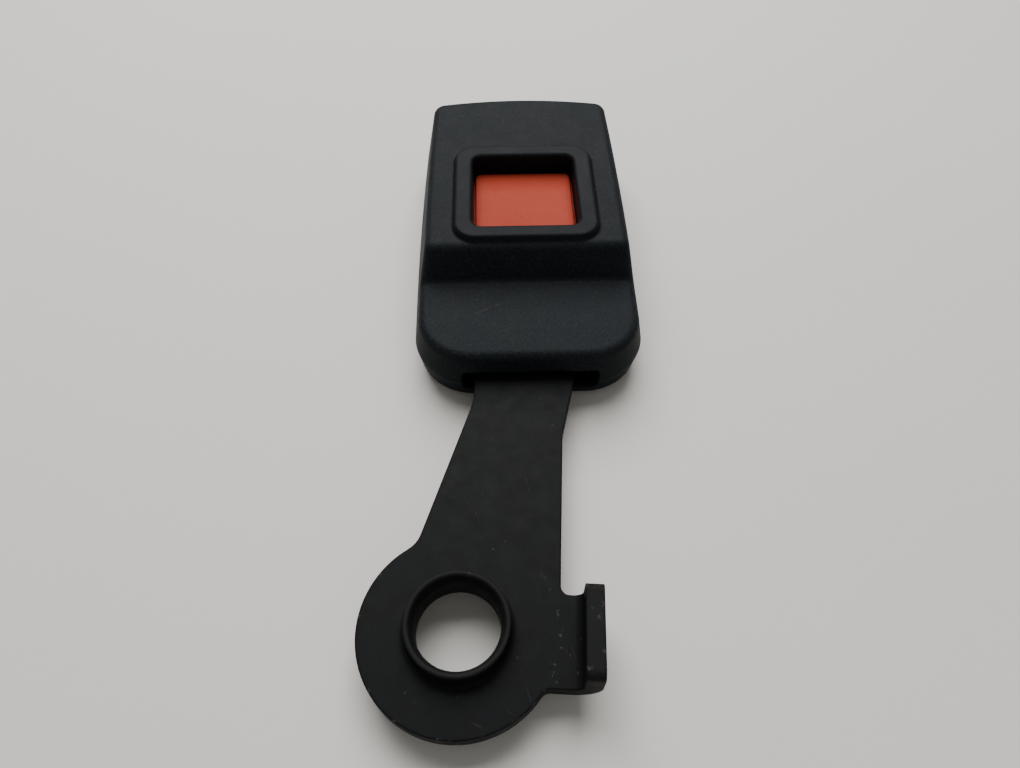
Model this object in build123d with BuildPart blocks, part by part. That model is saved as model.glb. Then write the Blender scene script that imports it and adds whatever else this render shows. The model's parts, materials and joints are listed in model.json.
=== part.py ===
"""Seat belt buckle on a riveted anchor strap, built as its separate pieces.

Frame: millimetres, +Z up towards the push button, origin on the axis of the anchor
bolt hole at the top face of the strap, +Y towards the mouth that takes the tongue.
"""
import os
from math import acos, atan2, cos, degrees, radians, sin, sqrt, tan

from build123d import *

# ---- anchor strap: a stamped and bent steel plate ----------------------------------
STRAP_THICK = 3.5
STRAP_TURN = 4.4  # degrees, strap turned clockwise on its rivet, seen from above
DISC_R = 19.56
BORE_R = 8.25
COLLAR_FLARE_R = 4.0  # the punch flares the drawn collar's inside with this radius
COLLAR_LIP = (9.2, 3.95)  # radius and height of the lip's inner edge
COLLAR_CREST_R = 9.65
COLLAR_TOP = 4.24
COLLAR_OUTER = (10.2, 3.6)  # radius and height of the lip's outer edge
COLLAR_ROOT_R = 1.2
BORE_ENTRY_R = 0.8
BLADE_RIGHT_X = 19.5  # strap-local x of the straight right edge
BLADE_WAIST = (-1.4, 52.5)  # strap-local corner where the slanted left edge ends
BLADE_FOOT = (-11.7, 10.0)  # strap-local end of the slanted edge, inside the disc
BLADE_ROOT = (-10.0, 16.8)  # strap-local corner where that edge leaves the disc
BLADE_FLARE_Y = (45.0, 63.0)  # strap-local stretch over which the right edge flares
STRAP_END_R = 12.0  # round end about the swivel rivet
LUG_COIN = 0.2  # the riveted end is coined thinner from below
LUG_Y = 55.0  # strap-local y where the coined end starts
EAR_FAR_Y = 7.8  # strap-local ends of the ear that carries the bent tab
EAR_NEAR_Y = -9.9
TAB_OUTER_X = 27.3
TAB_TOP = 8.0
TAB_BEND_R = 2.0  # inside radius of the bend
TAB_CORNER_R = 1.6
EAR_NOTCH_R = 1.8  # corner between the blade and the ear
EAR_ROOT_R = 2.0  # corner between the ear and the disc
BLADE_ROOT_R = 6.0
BLADE_CORNER_R = 12.0
NEAR = 0.1  # how close an edge must lie to be taken with a face or an opening
LAP = 1.0  # length by which joined or cut shapes run into each other
FAR = 10.0  # reach of a cutting shape past the head

# ---- head: two moulded covers -------------------------------------------------------
HEAD_X = 16.4  # the head's centre line
HEAD_REAR_Y = 58.9
HEAD_MOUTH_Y = 150.4  # at the mouth's corners
MOUTH_BOW = 3.0
HEAD_HALF_REAR = 27.8
HEAD_HALF_MID = 28.5
HEAD_HALF_MOUTH = 27.7
HEAD_MID_Y = 98.0
REAR_CORNER_R = 14.5
MOUTH_CORNER_R = 6.5
PARTING_Z = -1.0
BOTTOM_Z = -8.5
DECK_Z = 7.0  # low deck behind the slope
FACE_Z = 15.5  # raised face around the button
SLOPE_FOOT_Y = 84.2
SLOPE_TOP_Y = 88.4
SLOPE_FOOT_R = 1.5
SLOPE_TOP_R = 2.5
UPPER_DRAFT = 11.5
LOWER_DRAFT = 10.0
UPPER_EDGE_R = 2.2
LOWER_EDGE_R = 3.0
CORE_EDGE_R = 0.8  # least radius inside; a smaller one is left sharp in the core
WALL = 2.0
SLOT_HALF = 16.35  # rear slot for the strap
SLOT_Z = (-4.5, 2.0)
SLOT_R = 1.4
RIB = 1.4
TAIL_RIB_HALF = 9.0
TAIL_RIB_Y = 66.0
REAR_RIB_X = (11.0, 16.0)
REAR_RIB_Y = 88.8
UPPER_RIB_GAP = 0.5  # side play round the upper flanges
GUIDE_GAP = 0.3  # side play round the frame's walls
PAD_X = (15.3, 18.7)
PAD_Y = (88.0, 97.0)
RIB_GAP = 0.05
SIDE_RIB_YS = (101.0, 117.0)

# ---- button window and bezel --------------------------------------------------------
WINDOW_Y = (94.2, 121.4)
WINDOW_HALF = 13.4
WINDOW_R = 2.4
BEZEL_Y = (89.0, 126.7)
BEZEL_HALF = 18.85
BEZEL_R = 6.2
BEZEL_SINK = 0.4  # depth to which the bezel's block starts inside the face
BEZEL_TOP = 17.0
BEZEL_TAPER = 30.0
BEZEL_EDGE_R = 0.8
RIM_R = 1.1
SKIRT_WALL = 1.5
SKIRT_Z = 9.9

# ---- mouth for the tongue -----------------------------------------------------------
MOUTH_HALF = 13.2
MOUTH_Z = (2.9, 7.6)
MOUTH_R = 1.0
MOUTH_LEAD_R = 0.9
CHUTE_WALL = 1.5
CHUTE_REAR_Y = 125.2

# ---- latch frame --------------------------------------------------------------------
FRAME_Z = (0.6, 3.1)  # base plate
FRAME_HALF = 18.7
FRAME_Y = (86.0, 125.0)
FRAME_TAIL_HALF = 13.0
FRAME_TAIL_Y = 64.5
FLANGE_Y = (86.5, 121.0)
FLANGE_Z = -5.6
FLANGE_BEND_R = 0.8
FRAME_TAIL_R = 9.0
FRAME_NOSE_R = 2.5
FLANGE_STEP_Y = (98.5, 100.5)  # the walls' lower edge steps up in front of the pin
FLANGE_STEP_Z = -3.4
TOOTH_WINDOW_R = 1.0
LEG_SLOT_R = 0.8
TOOTH_WINDOW_HALF = 9.0
TOOTH_WINDOW_Y = (109.6, 117.4)
LEG_SLOT_X = (12.9, 15.5)
LEG_SLOT_Y = (111.2, 117.8)
SPRING_SLOT_HALF = 2.6
SPRING_SLOT_Y = (87.4, 104.6)

# ---- swivel rivet -------------------------------------------------------------------
RIVET_Y = 76.0
RIVET_R = 5.0
RIVET_HEAD_R = 7.6
RIVET_HEAD_H = 1.6
RIVET_FLAT = 0.6  # share of the head's radius that is struck flat
RIVET_SHOULDER = (0.9, 0.72)  # shares of the head's radius and height at its shoulder
WASHER_R = 9.0
WASHER_T = 0.5
SWIVEL_GAP = 0.1
SWIVEL_RUN = 0.05  # radial running clearance
PRESS_GAP = 0.02  # radial, between the shank and the frame that it is spread into

# ---- latch lever and its pin --------------------------------------------------------
PIN_Y = 93.5
PIN_Z = -2.6
PIN_R = 1.5
PIN_RUN = 0.05
PIN_HALF = 20.4
GROOVE_X = (18.85, 19.55)
GROOVE_R = 1.1
PIN_CHAMFER = 0.3
CLIP_R = 2.9
CLIP_INNER_R = 1.95
CLIP_T = 0.6
CLIP_GAP = 0.05  # side play of a clip in its groove
CLIP_PAD = (1.1, 1.2)  # radial and tangential size of the three pads that grip the pin
CLIP_PAD_AT = 1.7
CLIP_MOUTH = (2.4, 4.0)
LEVER_Z = (-2.2, 0.3)
LEVER_HALF = 15.9
LEVER_WAIST_HALF = 12.0
LEVER_END_Y = 118.6
LEVER_EAR_Y = 109.5
LEVER_CORNER_R = 1.5
KNUCKLE_GAP_Y = 11.0  # depth of the fork that clears the torsion spring, about the pin
KNUCKLE_R = 3.0
KNUCKLE_X = (5.6, 15.0)
TOOTH_HALF = 8.0
TOOTH_Y = (110.6, 112.4, 116.2)  # holding face, end of the flat top, foot of the ramp
TOOTH_TOP = 5.6
TOOTH_EDGE_R = 0.5
TOOTH_ROOT_Z = -1.7  # the tooth's section starts inside the arm

# ---- ejector ------------------------------------------------------------------------
EJECTOR_Y = (95.5, 109.4)
EJECTOR_HALF = 10.0
EJECTOR_Z = (3.2, 5.6)
EJECTOR_CORNER_R = 2.0
EJECTOR_LEAD = 0.5  # chamfer along the edge that meets the tongue
EJECTOR_ROOF = 0.4  # left over the spring's channel
CHANNEL_GAP = 0.2
EJECTOR_KEY_Y = (101.2, 104.2)
EJECTOR_KEY_HALF = 2.3
EJECTOR_KEY_Z = 0.9

# ---- button -------------------------------------------------------------------------
BUTTON_TOP = 11.4
BUTTON_HALF = 12.8
BUTTON_Y = (94.8, 120.8)
BUTTON_R = 1.8
BUTTON_EDGE_R = 0.35
BUTTON_WALL = 1.6
BUTTON_SKIRT_Z = 8.9
FLANGE_TOP = 9.6
SIDE_FLANGE_Z = 8.2
SIDE_FLANGE_HALF = 16.8
END_FLANGE_OUT = 1.5
LEG_X = (13.2, 15.2)
LEG_Y = 114.5
LEG_HALF_Y = 2.6
LEG_TIP_Z = 0.5

# ---- springs ------------------------------------------------------------------------
BUTTON_SPRING_Y = 104.0
BUTTON_SPRING_X = 14.9
BUTTON_SPRING_R = 1.5
BUTTON_WIRE = 0.4
BUTTON_TURNS = 5
EJECTOR_SPRING_R = 1.9
EJECTOR_WIRE = 0.5
EJECTOR_TURNS = 9
EJECTOR_SPRING_Z = 2.9
LATCH_SPRING_R = 2.2
LATCH_WIRE = 0.8
LATCH_COIL_HALF = 4.2
LATCH_TURNS = 6
LATCH_REAR_ANGLE = -60.0  # where each leg leaves the coil, from straight down
LATCH_FRONT_ANGLE = 12.0
LATCH_REAR_LEG = 4.4
LATCH_FRONT_LEG = 9.8

# ---- screws -------------------------------------------------------------------------
SCREW_X = 20.6
SCREW_YS = (71.0, 142.0)
SCREW_R = 1.3
SCREW_PLAY = 0.25
TIP_ROOM = 0.5
COUNTERBORE_R = 2.9
SCREW_HEAD_R = 2.7
SCREW_HEAD_H = 1.6
SCREW_TIP_Z = 5.0
LOWER_BOSS_R = 3.9
BOSS_R = 3.1
HEAD_CHAMFER = 0.4
TIP_CHAMFER = 0.7
CROSS = (2.8, 0.6)  # length and width of the cross recess
CROSS_DEPTH = 1.1
COUNTERBORE_Z = -6.4

os.makedirs("parts", exist_ok=True)


def head_plane(z):
    """Horizontal plane at height z with its origin on the head's centre line."""
    return Plane(origin=(HEAD_X, 0, z))


def strap_plane(z):
    """Horizontal plane at height z, turned with the strap about the bolt hole."""
    turn = radians(STRAP_TURN)
    return Plane(origin=(0, 0, z), x_dir=(cos(turn), -sin(turn), 0), z_dir=(0, 0, 1))


def cross_plane(y):
    """Plane across the head: local x is the head's +X and local y is +Z; normal is -Y."""
    return Plane(origin=(HEAD_X, y, 0), x_dir=(1, 0, 0), z_dir=(0, -1, 0))


def side_plane(x):
    """Plane along the head at offset x: local x is +Y and local y is +Z; normal is +X."""
    return Plane(origin=(HEAD_X + x, 0, 0), x_dir=(0, 1, 0), z_dir=(1, 0, 0))


def box_between(x, y, z):
    """A plain block between pairs of limits, its x measured from the head's centre line."""
    size = (x[1] - x[0], y[1] - y[0], z[1] - z[0])
    block = Box(*size, mode=Mode.PRIVATE)
    return Pos(HEAD_X + sum(x) / 2, sum(y) / 2, sum(z) / 2) * block


def save(builder, name):
    """Label the finished piece and write it as one STEP file."""
    builder.part.label = name
    export_step(builder.part, f"parts/{name}.step")


# ---- anchor strap -------------------------------------------------------------------
turn = radians(STRAP_TURN)
rivet_local = (
    HEAD_X * cos(turn) - RIVET_Y * sin(turn),
    HEAD_X * sin(turn) + RIVET_Y * cos(turn),
)
end_left = rivet_local[0] - STRAP_END_R
end_right = rivet_local[0] + STRAP_END_R
tab_bend_x = TAB_OUTER_X - STRAP_THICK - TAB_BEND_R
ear_root_x = sqrt(DISC_R**2 - EAR_NEAR_Y**2)

root_x = COLLAR_OUTER[0] + COLLAR_ROOT_R

with BuildPart() as anchor_strap:
    with BuildSketch(strap_plane(-STRAP_THICK)) as outline:
        Circle(DISC_R)
        with BuildLine():
            Polyline(
                (0, 0),
                (BLADE_RIGHT_X, 0),
                (BLADE_RIGHT_X, BLADE_FLARE_Y[0]),
                (end_right, BLADE_FLARE_Y[1]),
                (end_right, rivet_local[1]),
            )
            ThreePointArc(
                (end_right, rivet_local[1]),
                (rivet_local[0], rivet_local[1] + STRAP_END_R),
                (end_left, rivet_local[1]),
            )
            Polyline(
                (end_left, rivet_local[1]),
                (end_left, BLADE_FLARE_Y[1]),
                BLADE_WAIST,
                BLADE_FOOT,
                (0, 0),
            )
        make_face()
        with Locations((tab_bend_x / 2, (EAR_FAR_Y + EAR_NEAR_Y) / 2)):
            Rectangle(tab_bend_x, EAR_FAR_Y - EAR_NEAR_Y)
        corners = outline.vertices()
        notch = corners.sort_by_distance((BLADE_RIGHT_X, EAR_FAR_Y))[0]
        fillet(notch, radius=EAR_NOTCH_R)
        root = outline.vertices().sort_by_distance((ear_root_x, EAR_NEAR_Y))[0]
        fillet(root, radius=EAR_ROOT_R)
        fillet(outline.vertices().sort_by_distance(BLADE_ROOT)[0], radius=BLADE_ROOT_R)
        for corner in (BLADE_WAIST, (BLADE_RIGHT_X, BLADE_FLARE_Y[0]), (end_right, BLADE_FLARE_Y[1])):
            fillet(outline.vertices().sort_by_distance(corner)[0], radius=BLADE_CORNER_R)
        Circle(root_x, mode=Mode.SUBTRACT)
        with Locations(rivet_local):
            Circle(RIVET_R + SWIVEL_RUN, mode=Mode.SUBTRACT)
    extrude(amount=STRAP_THICK)
    with BuildSketch(strap_plane(-STRAP_THICK)):
        with Locations((rivet_local[0], LUG_Y + STRAP_END_R * 2)):
            Rectangle(4 * STRAP_END_R, 4 * STRAP_END_R)
    extrude(amount=LUG_COIN, mode=Mode.SUBTRACT)

    # the bent tab: an L section with a rolled corner, run along the ear's edge
    ear_plane = Plane(
        origin=strap_plane(0).from_local_coords((0, EAR_FAR_Y, 0)),
        x_dir=strap_plane(0).x_dir,
        z_dir=-strap_plane(0).y_dir,
    )
    with BuildSketch(ear_plane) as tab_section:
        with BuildLine():
            Line((tab_bend_x - LAP, -STRAP_THICK), (tab_bend_x - LAP, 0))
            Line((tab_bend_x - LAP, 0), (tab_bend_x, 0))
            CenterArc((tab_bend_x, TAB_BEND_R), TAB_BEND_R, -90, 90)
            Polyline(
                (tab_bend_x + TAB_BEND_R, TAB_BEND_R),
                (tab_bend_x + TAB_BEND_R, TAB_TOP),
                (TAB_OUTER_X, TAB_TOP),
                (TAB_OUTER_X, TAB_BEND_R),
            )
            CenterArc((tab_bend_x, TAB_BEND_R), TAB_BEND_R + STRAP_THICK, -90, 90)
            Line((tab_bend_x, -STRAP_THICK), (tab_bend_x - LAP, -STRAP_THICK))
        make_face()
    extrude(amount=EAR_FAR_Y - EAR_NEAR_Y)
    tab_corners = anchor_strap.faces().sort_by(Axis.Z)[-1].edges().sort_by(Axis.Y)
    fillet([tab_corners[0], tab_corners[-1]], radius=TAB_CORNER_R)

    # the plate round the bolt hole, drawn up into a collar with a rolled lip
    with BuildSketch(Plane.XZ) as collar_section:
        flare_angle = acos((BORE_R + COLLAR_FLARE_R - COLLAR_LIP[0]) / COLLAR_FLARE_R)
        flare_z = COLLAR_LIP[1] - COLLAR_FLARE_R * sin(flare_angle)
        flare_centre = (BORE_R + COLLAR_FLARE_R, flare_z)
        with BuildLine():
            CenterArc((BORE_R + BORE_ENTRY_R, BORE_ENTRY_R - STRAP_THICK), BORE_ENTRY_R, 180, 90)
            Line((BORE_R, BORE_ENTRY_R - STRAP_THICK), (BORE_R, flare_z))
            CenterArc(flare_centre, COLLAR_FLARE_R, 180, -degrees(flare_angle))
            ThreePointArc(COLLAR_LIP, (COLLAR_CREST_R, COLLAR_TOP), COLLAR_OUTER)
            Line(COLLAR_OUTER, (COLLAR_OUTER[0], COLLAR_ROOT_R))
            CenterArc((root_x, COLLAR_ROOT_R), COLLAR_ROOT_R, 180, 90)
            Polyline((root_x, 0), (root_x, -STRAP_THICK), (BORE_R + BORE_ENTRY_R, -STRAP_THICK))
        make_face()
    revolve(axis=Axis.Z)
save(anchor_strap, "anchor_strap")

# ---- swivel rivet and its two washers -----------------------------------------------
lug_bottom_z = LUG_COIN - STRAP_THICK
lower_head_z = lug_bottom_z - SWIVEL_GAP - WASHER_T

with BuildPart() as swivel_rivet:
    with BuildSketch(cross_plane(RIVET_Y)):
        with BuildLine():
            Polyline(
                (0, FRAME_Z[1] + RIVET_HEAD_H),
                (0, lower_head_z - RIVET_HEAD_H),
                (RIVET_HEAD_R * RIVET_FLAT, lower_head_z - RIVET_HEAD_H),
            )
            ThreePointArc(
                (RIVET_HEAD_R * RIVET_FLAT, lower_head_z - RIVET_HEAD_H),
                (RIVET_HEAD_R * RIVET_SHOULDER[0], lower_head_z - RIVET_HEAD_H * RIVET_SHOULDER[1]),
                (RIVET_HEAD_R, lower_head_z),
            )
            Polyline(
                (RIVET_HEAD_R, lower_head_z),
                (RIVET_R, lower_head_z),
                (RIVET_R, FRAME_Z[1]),
                (RIVET_HEAD_R, FRAME_Z[1]),
            )
            ThreePointArc(
                (RIVET_HEAD_R, FRAME_Z[1]),
                (RIVET_HEAD_R * RIVET_SHOULDER[0], FRAME_Z[1] + RIVET_HEAD_H * RIVET_SHOULDER[1]),
                (RIVET_HEAD_R * RIVET_FLAT, FRAME_Z[1] + RIVET_HEAD_H),
            )
            Line((RIVET_HEAD_R * RIVET_FLAT, FRAME_Z[1] + RIVET_HEAD_H), (0, FRAME_Z[1] + RIVET_HEAD_H))
        make_face()
    revolve(axis=Axis((HEAD_X, RIVET_Y, 0), (0, 0, 1)))
save(swivel_rivet, "swivel_rivet")

for name, z in (("upper_swivel_washer", SWIVEL_GAP), ("lower_swivel_washer", lower_head_z)):
    with BuildPart() as washer:
        with BuildSketch(head_plane(z)):
            with Locations((0, RIVET_Y)):
                Circle(WASHER_R)
                Circle(RIVET_R + SWIVEL_RUN, mode=Mode.SUBTRACT)
        extrude(amount=WASHER_T)
    save(washer, name)

# ---- latch frame: a pressed channel with its walls turned down ----------------------
with BuildPart() as latch_frame:
    with BuildSketch(head_plane(FRAME_Z[0])) as plate:
        flat_half = FRAME_HALF - FLANGE_BEND_R - (FRAME_Z[1] - FRAME_Z[0])
        with Locations((0, sum(FRAME_Y) / 2)):
            Rectangle(2 * flat_half, FRAME_Y[1] - FRAME_Y[0])
        with Locations((0, (FRAME_TAIL_Y + FRAME_Y[0] + LAP) / 2)):
            Rectangle(2 * FRAME_TAIL_HALF, FRAME_Y[0] - FRAME_TAIL_Y + LAP)
        tail = plate.vertices().sort_by(Axis.Y)[:2]
        fillet(tail, radius=FRAME_TAIL_R)
        nose = plate.vertices().sort_by(Axis.Y)[-2:]
        fillet(nose, radius=FRAME_NOSE_R)
        with Locations((0, RIVET_Y)):
            Circle(RIVET_R + PRESS_GAP, mode=Mode.SUBTRACT)
        with Locations((0, sum(TOOTH_WINDOW_Y) / 2)):
            RectangleRounded(
                2 * TOOTH_WINDOW_HALF,
                TOOTH_WINDOW_Y[1] - TOOTH_WINDOW_Y[0],
                TOOTH_WINDOW_R,
                mode=Mode.SUBTRACT,
            )
        with Locations((0, sum(SPRING_SLOT_Y) / 2)):
            Rectangle(
                2 * SPRING_SLOT_HALF, SPRING_SLOT_Y[1] - SPRING_SLOT_Y[0], mode=Mode.SUBTRACT
            )
        slot_x = sum(LEG_SLOT_X) / 2
        with Locations((slot_x, sum(LEG_SLOT_Y) / 2), (-slot_x, sum(LEG_SLOT_Y) / 2)):
            RectangleRounded(
                LEG_SLOT_X[1] - LEG_SLOT_X[0],
                LEG_SLOT_Y[1] - LEG_SLOT_Y[0],
                LEG_SLOT_R,
                mode=Mode.SUBTRACT,
            )
    extrude(amount=FRAME_Z[1] - FRAME_Z[0])
    for side in (1, -1):
        with BuildSketch(cross_plane(FLANGE_Y[1])) as flange_section:
            bend_z = FRAME_Z[0] - FLANGE_BEND_R
            inner_x = flat_half + FLANGE_BEND_R
            with BuildLine():
                Line((side * flat_half, FRAME_Z[1]), (side * flat_half, FRAME_Z[0]))
                CenterArc((side * flat_half, bend_z), FLANGE_BEND_R, 90, -90 * side)
                Polyline(
                    (side * inner_x, bend_z),
                    (side * inner_x, FLANGE_Z),
                    (side * FRAME_HALF, FLANGE_Z),
                    (side * FRAME_HALF, bend_z),
                )
                CenterArc((side * flat_half, bend_z), FRAME_Z[1] - bend_z, 90, -90 * side)
            make_face()
        extrude(amount=FLANGE_Y[1] - FLANGE_Y[0])
    # the walls step up in front of the pin, and are pierced for it
    with BuildSketch(side_plane(-FRAME_HALF - LAP)):
        with BuildLine():
            Polyline(
                (FLANGE_STEP_Y[0], FLANGE_Z - LAP),
                (FLANGE_STEP_Y[0], FLANGE_Z),
                (FLANGE_STEP_Y[1], FLANGE_STEP_Z),
                (FLANGE_Y[1] + LAP, FLANGE_STEP_Z),
                (FLANGE_Y[1] + LAP, FLANGE_Z - LAP),
                close=True,
            )
        make_face()
    extrude(amount=2 * (FRAME_HALF + LAP), mode=Mode.SUBTRACT)
    with BuildSketch(side_plane(-FRAME_HALF - LAP)):
        with Locations((PIN_Y, PIN_Z)):
            Circle(PIN_R + PRESS_GAP)
    extrude(amount=2 * (FRAME_HALF + LAP), mode=Mode.SUBTRACT)
save(latch_frame, "latch_frame")

# ---- latch lever: forked knuckles on the pin, an arm, and the tooth -----------------
with BuildPart() as latch_lever:
    with BuildSketch(head_plane(LEVER_Z[0])) as arm:
        with Locations((0, (PIN_Y + LEVER_END_Y) / 2)):
            Rectangle(2 * LEVER_WAIST_HALF, LEVER_END_Y - PIN_Y)
        with Locations((0, (LEVER_EAR_Y + LEVER_END_Y) / 2)):
            Rectangle(2 * LEVER_HALF, LEVER_END_Y - LEVER_EAR_Y)
        with Locations((0, PIN_Y)):
            Rectangle(2 * KNUCKLE_X[0], KNUCKLE_GAP_Y, mode=Mode.SUBTRACT)
        fillet(arm.vertices().group_by(Axis.Y)[-1], radius=LEVER_CORNER_R)
    extrude(amount=LEVER_Z[1] - LEVER_Z[0])
    for side in (1, -1):
        with BuildSketch(side_plane(side * KNUCKLE_X[0])):
            with Locations((PIN_Y, PIN_Z)):
                Circle(KNUCKLE_R)
        extrude(amount=side * (KNUCKLE_X[1] - KNUCKLE_X[0]))
    with BuildSketch(side_plane(-LEVER_HALF)):
        with Locations((PIN_Y, PIN_Z)):
            Circle(PIN_R + PIN_RUN)
    extrude(amount=2 * LEVER_HALF, mode=Mode.SUBTRACT)
    with BuildSketch(side_plane(-TOOTH_HALF)) as tooth:
        with BuildLine():
            Polyline(
                (TOOTH_Y[0], TOOTH_ROOT_Z),
                (TOOTH_Y[0], TOOTH_TOP),
                (TOOTH_Y[1], TOOTH_TOP),
                (TOOTH_Y[2], LEVER_Z[1]),
                (TOOTH_Y[2], TOOTH_ROOT_Z),
                close=True,
            )
        make_face()
        fillet(tooth.vertices().sort_by(Axis.Y)[-2:], radius=TOOTH_EDGE_R)
    extrude(amount=2 * TOOTH_HALF)
save(latch_lever, "latch_lever")

# ---- latch pin and its two retaining clips ------------------------------------------
with BuildPart() as latch_pin:
    with BuildSketch(side_plane(-PIN_HALF)):
        with Locations((PIN_Y, PIN_Z)):
            Circle(PIN_R)
    extrude(amount=2 * PIN_HALF)
    chamfer(latch_pin.edges().filter_by(GeomType.CIRCLE), length=PIN_CHAMFER)
    for side in (1, -1):
        with BuildSketch(side_plane(side * GROOVE_X[0])):
            with Locations((PIN_Y, PIN_Z)):
                Circle(PIN_R + LAP)
                Circle(GROOVE_R, mode=Mode.SUBTRACT)
        extrude(amount=side * (GROOVE_X[1] - GROOVE_X[0]), mode=Mode.SUBTRACT)
save(latch_pin, "latch_pin")

for name, side in (("latch_clip_left", -1), ("latch_clip_right", 1)):
    with BuildPart() as clip:
        with BuildSketch(side_plane(side * (GROOVE_X[0] + CLIP_GAP))):
            with Locations((PIN_Y, PIN_Z)):
                Circle(CLIP_R)
                Circle(CLIP_INNER_R, mode=Mode.SUBTRACT)
                with PolarLocations(0, 3, start_angle=90):
                    with Locations((CLIP_PAD_AT, 0)):
                        Rectangle(*CLIP_PAD)
                Circle(GROOVE_R + PRESS_GAP, mode=Mode.SUBTRACT)
            with Locations((PIN_Y, PIN_Z - CLIP_R)):
                Rectangle(*CLIP_MOUTH, mode=Mode.SUBTRACT)
        extrude(amount=side * CLIP_T)
    save(clip, name)

# ---- ejector: a moulded slider with a spring channel and a key in the frame's slot --
with BuildPart() as ejector:
    with BuildSketch(head_plane(EJECTOR_Z[0])) as slider:
        with Locations((0, sum(EJECTOR_Y) / 2)):
            Rectangle(2 * EJECTOR_HALF, EJECTOR_Y[1] - EJECTOR_Y[0])
        fillet(slider.vertices().group_by(Axis.Y)[0], radius=EJECTOR_CORNER_R)
    extrude(amount=EJECTOR_Z[1] - EJECTOR_Z[0])
    add(
        box_between(
            (CHANNEL_GAP - SPRING_SLOT_HALF, SPRING_SLOT_HALF - CHANNEL_GAP),
            (EJECTOR_Y[0] - LAP, EJECTOR_KEY_Y[0]),
            (EJECTOR_Z[0] - LAP, EJECTOR_Z[1] - EJECTOR_ROOF),
        ),
        mode=Mode.SUBTRACT,
    )
    add(
        box_between(
            (-EJECTOR_KEY_HALF, EJECTOR_KEY_HALF),
            EJECTOR_KEY_Y,
            (EJECTOR_KEY_Z, EJECTOR_Z[0]),
        )
    )
    top_edges = ejector.faces().sort_by(Axis.Z)[-1].edges()
    chamfer(top_edges.filter_by(Axis.X).sort_by(Axis.Y)[-1], length=EJECTOR_LEAD)
save(ejector, "ejector")

# ---- push button: a cap with a retaining flange and two legs over the tongue --------
with BuildPart() as press_button:
    button_mid = sum(BUTTON_Y) / 2
    button_length = BUTTON_Y[1] - BUTTON_Y[0]
    with BuildSketch(head_plane(BUTTON_SKIRT_Z)):
        with Locations((0, button_mid)):
            RectangleRounded(2 * BUTTON_HALF, button_length, BUTTON_R)
    extrude(amount=BUTTON_TOP - BUTTON_SKIRT_Z)
    fillet(press_button.faces().sort_by(Axis.Z)[-1].edges(), radius=BUTTON_EDGE_R)
    with BuildSketch(head_plane(BUTTON_SKIRT_Z)):
        with Locations((0, button_mid)):
            Rectangle(2 * SIDE_FLANGE_HALF, button_length + 2 * END_FLANGE_OUT)
    extrude(amount=FLANGE_TOP - BUTTON_SKIRT_Z)
    with BuildSketch(head_plane(BUTTON_SKIRT_Z)):
        with Locations((0, button_mid)):
            Rectangle(2 * (BUTTON_HALF - BUTTON_WALL), button_length - 2 * BUTTON_WALL)
    extrude(amount=BUTTON_TOP - BUTTON_WALL - BUTTON_SKIRT_Z, mode=Mode.SUBTRACT)
    for side in (1, -1):
        rail_mid = side * (LEG_X[0] + SIDE_FLANGE_HALF) / 2
        with BuildSketch(head_plane(SIDE_FLANGE_Z)):
            with Locations((rail_mid, button_mid)):
                Rectangle(SIDE_FLANGE_HALF - LEG_X[0], button_length + 2 * END_FLANGE_OUT)
        extrude(amount=FLANGE_TOP - SIDE_FLANGE_Z)
        with BuildSketch(side_plane(side * LEG_X[0])):
            with Locations((LEG_Y, (SIDE_FLANGE_Z + LEG_TIP_Z + LEG_HALF_Y) / 2)):
                Rectangle(2 * LEG_HALF_Y, SIDE_FLANGE_Z - LEG_TIP_Z - LEG_HALF_Y)
            with Locations((LEG_Y, LEG_TIP_Z + LEG_HALF_Y)):
                Circle(LEG_HALF_Y)
        extrude(amount=side * (LEG_X[1] - LEG_X[0]))
save(press_button, "press_button")


# ---- springs ------------------------------------------------------------------------
def coil(plane, radius, wire, length, turns):
    """A round-wire coil that stands on the plane and reaches length along its normal."""
    travel = length - wire
    with BuildPart() as spring:
        with BuildLine():
            path = Helix(travel / turns, travel, radius)
        with BuildSketch(Plane(origin=path @ 0, z_dir=path % 0)):
            RegularPolygon(wire / 2, 6)
        sweep(path=path, is_frenet=True)
    return plane.location * Pos(0, 0, wire / 2) * spring.part


for name, side in (("button_spring_left", -1), ("button_spring_right", 1)):
    seat = Plane(origin=(HEAD_X + side * BUTTON_SPRING_X, BUTTON_SPRING_Y, FRAME_Z[1]))
    spring = coil(seat, BUTTON_SPRING_R, BUTTON_WIRE, SIDE_FLANGE_Z - FRAME_Z[1], BUTTON_TURNS)
    with BuildPart() as button_spring:
        add(spring)
    save(button_spring, name)

ejector_spring_seat = Plane(origin=(HEAD_X, SPRING_SLOT_Y[0], EJECTOR_SPRING_Z), z_dir=(0, 1, 0))
spring = coil(
    ejector_spring_seat,
    EJECTOR_SPRING_R,
    EJECTOR_WIRE,
    EJECTOR_KEY_Y[0] - SPRING_SLOT_Y[0],
    EJECTOR_TURNS,
)
with BuildPart() as ejector_spring:
    add(spring)
save(ejector_spring, "ejector_spring")

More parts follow.
